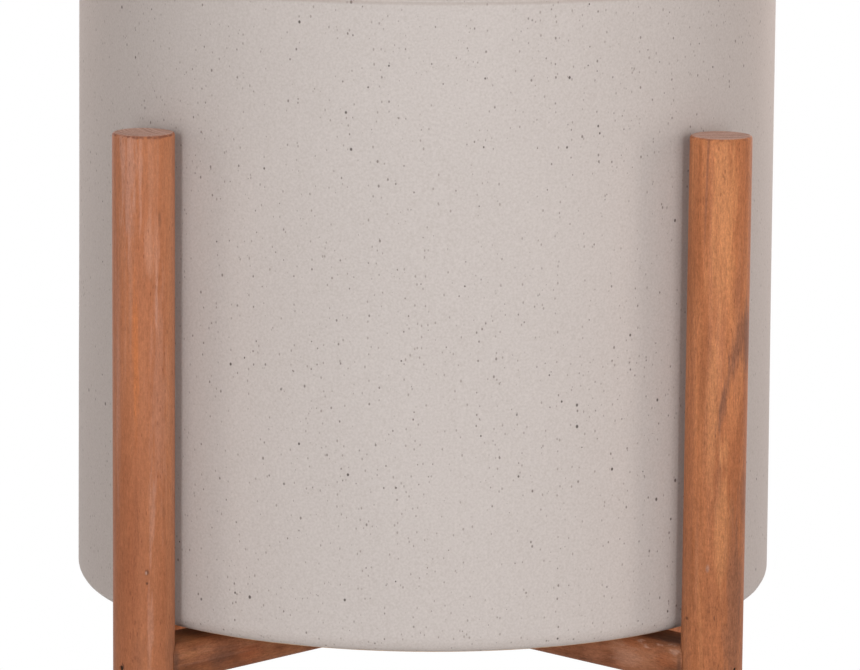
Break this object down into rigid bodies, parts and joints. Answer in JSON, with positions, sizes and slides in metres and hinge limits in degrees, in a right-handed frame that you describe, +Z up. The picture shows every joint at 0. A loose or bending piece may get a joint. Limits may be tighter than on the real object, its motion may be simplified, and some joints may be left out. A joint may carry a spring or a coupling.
{
  "type": "planter with stand",
  "caption": "Straight round stoneware planter with a matte speckled finish, standing on half-lapped wooden cross rails between tall round wooden legs.",
  "frame": {"origin": "on the floor under the middle of the pot, in the plane of the glides' undersides", "axes": "+Z up; the pictured front faces -Y, with the front pair of legs at +X and -X; the cross rails run along the horizontal diagonals"},
  "size_m": [0.355, 0.3548, 0.4695],
  "materials": {
    "stoneware": "matte warm grey glaze with fine dark iron speckles",
    "stopper_rubber": "black moulded rubber",
    "leg_wood": "turned acacia-coloured hardwood, oiled, upright grain",
    "rail_wood": "darker hardwood with eased edges, oiled",
    "dowel_wood": "plain pale hardwood dowel",
    "pad_rubber": "black soft pad",
    "glide_nylon": "brown moulded nylon",
    "fastener_steel": "plain bright steel"
  },
  "bodies": {
    "stand": {"leg_front_right": "leg_wood", "leg_rear_right": "leg_wood", "leg_rear_left": "leg_wood", "leg_front_left": "leg_wood", "cross_rail_lower": "rail_wood", "cross_rail_upper": "rail_wood", "dowel_front_right": "dowel_wood", "dowel_rear_right": "dowel_wood", "dowel_rear_left": "dowel_wood", "dowel_front_left": "dowel_wood", "dowel_brads": "fastener_steel", "pot_pad_front_right": "pad_rubber", "pot_pad_rear_right": "pad_rubber", "pot_pad_rear_left": "pad_rubber", "pot_pad_front_left": "pad_rubber", "leg_glide_front_right": "glide_nylon", "leg_glide_rear_right": "glide_nylon", "leg_glide_rear_left": "glide_nylon", "leg_glide_front_left": "glide_nylon", "glide_nails": "fastener_steel", "lap_screw": "fastener_steel"},
    "pot": {"pot": "stoneware"},
    "drain_plug": {"drain_plug": "stopper_rubber"}
  },
  "joints": [
    {"name": "pot_lift", "type": "slide", "parent": "stand", "child": "pot", "axis": [0, 0, 1], "range_m": [0, 0.28]},
    {"name": "plug_lift", "type": "slide", "parent": "pot", "child": "drain_plug", "axis": [0, 0, 1], "range_m": [0, 0.34]}
  ]
}
